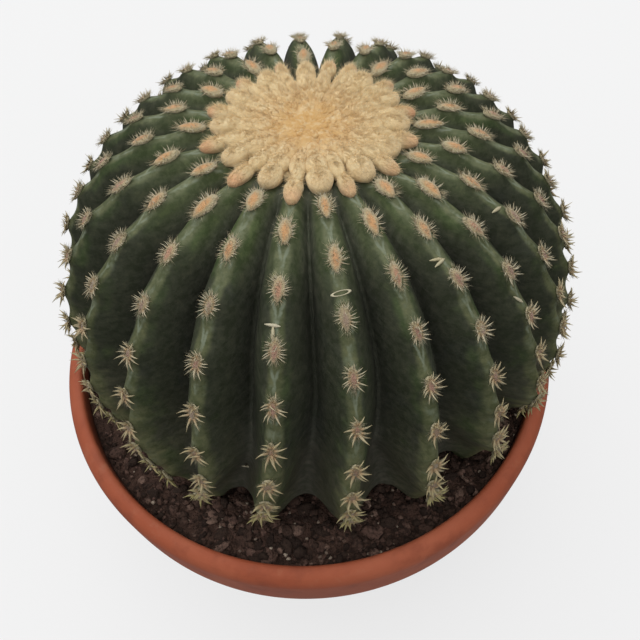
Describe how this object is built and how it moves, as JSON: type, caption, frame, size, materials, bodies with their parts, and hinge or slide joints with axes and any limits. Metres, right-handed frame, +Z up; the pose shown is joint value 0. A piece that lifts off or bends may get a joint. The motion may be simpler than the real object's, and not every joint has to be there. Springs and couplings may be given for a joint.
{
  "type": "potted round cactus",
  "caption": "Round ribbed cactus with short spines and a woolly crown, standing in soil in a shallow clay bowl with a rounded collar.",
  "frame": {"origin": "centre of the bowl's foot, on the surface it stands on", "axes": "+Z up; -Y faces the side that the picture shows"},
  "size_m": [0.2535, 0.2533, 0.2564],
  "materials": {
    "clay": "unglazed orange-brown clay, matt and smooth, a little dusty",
    "soil": "dark crumbly potting mix of bark and peat with pale grit",
    "cactus_skin": "waxy dark green skin, paler along the rib crests, with cream spines on tan felt pads",
    "wool": "soft matt cream wool"
  },
  "bodies": {
    "root": {"pot": "clay", "soil": "soil", "cactus_body": "cactus_skin", "wool_crown": "wool"}
  },
  "joints": []
}
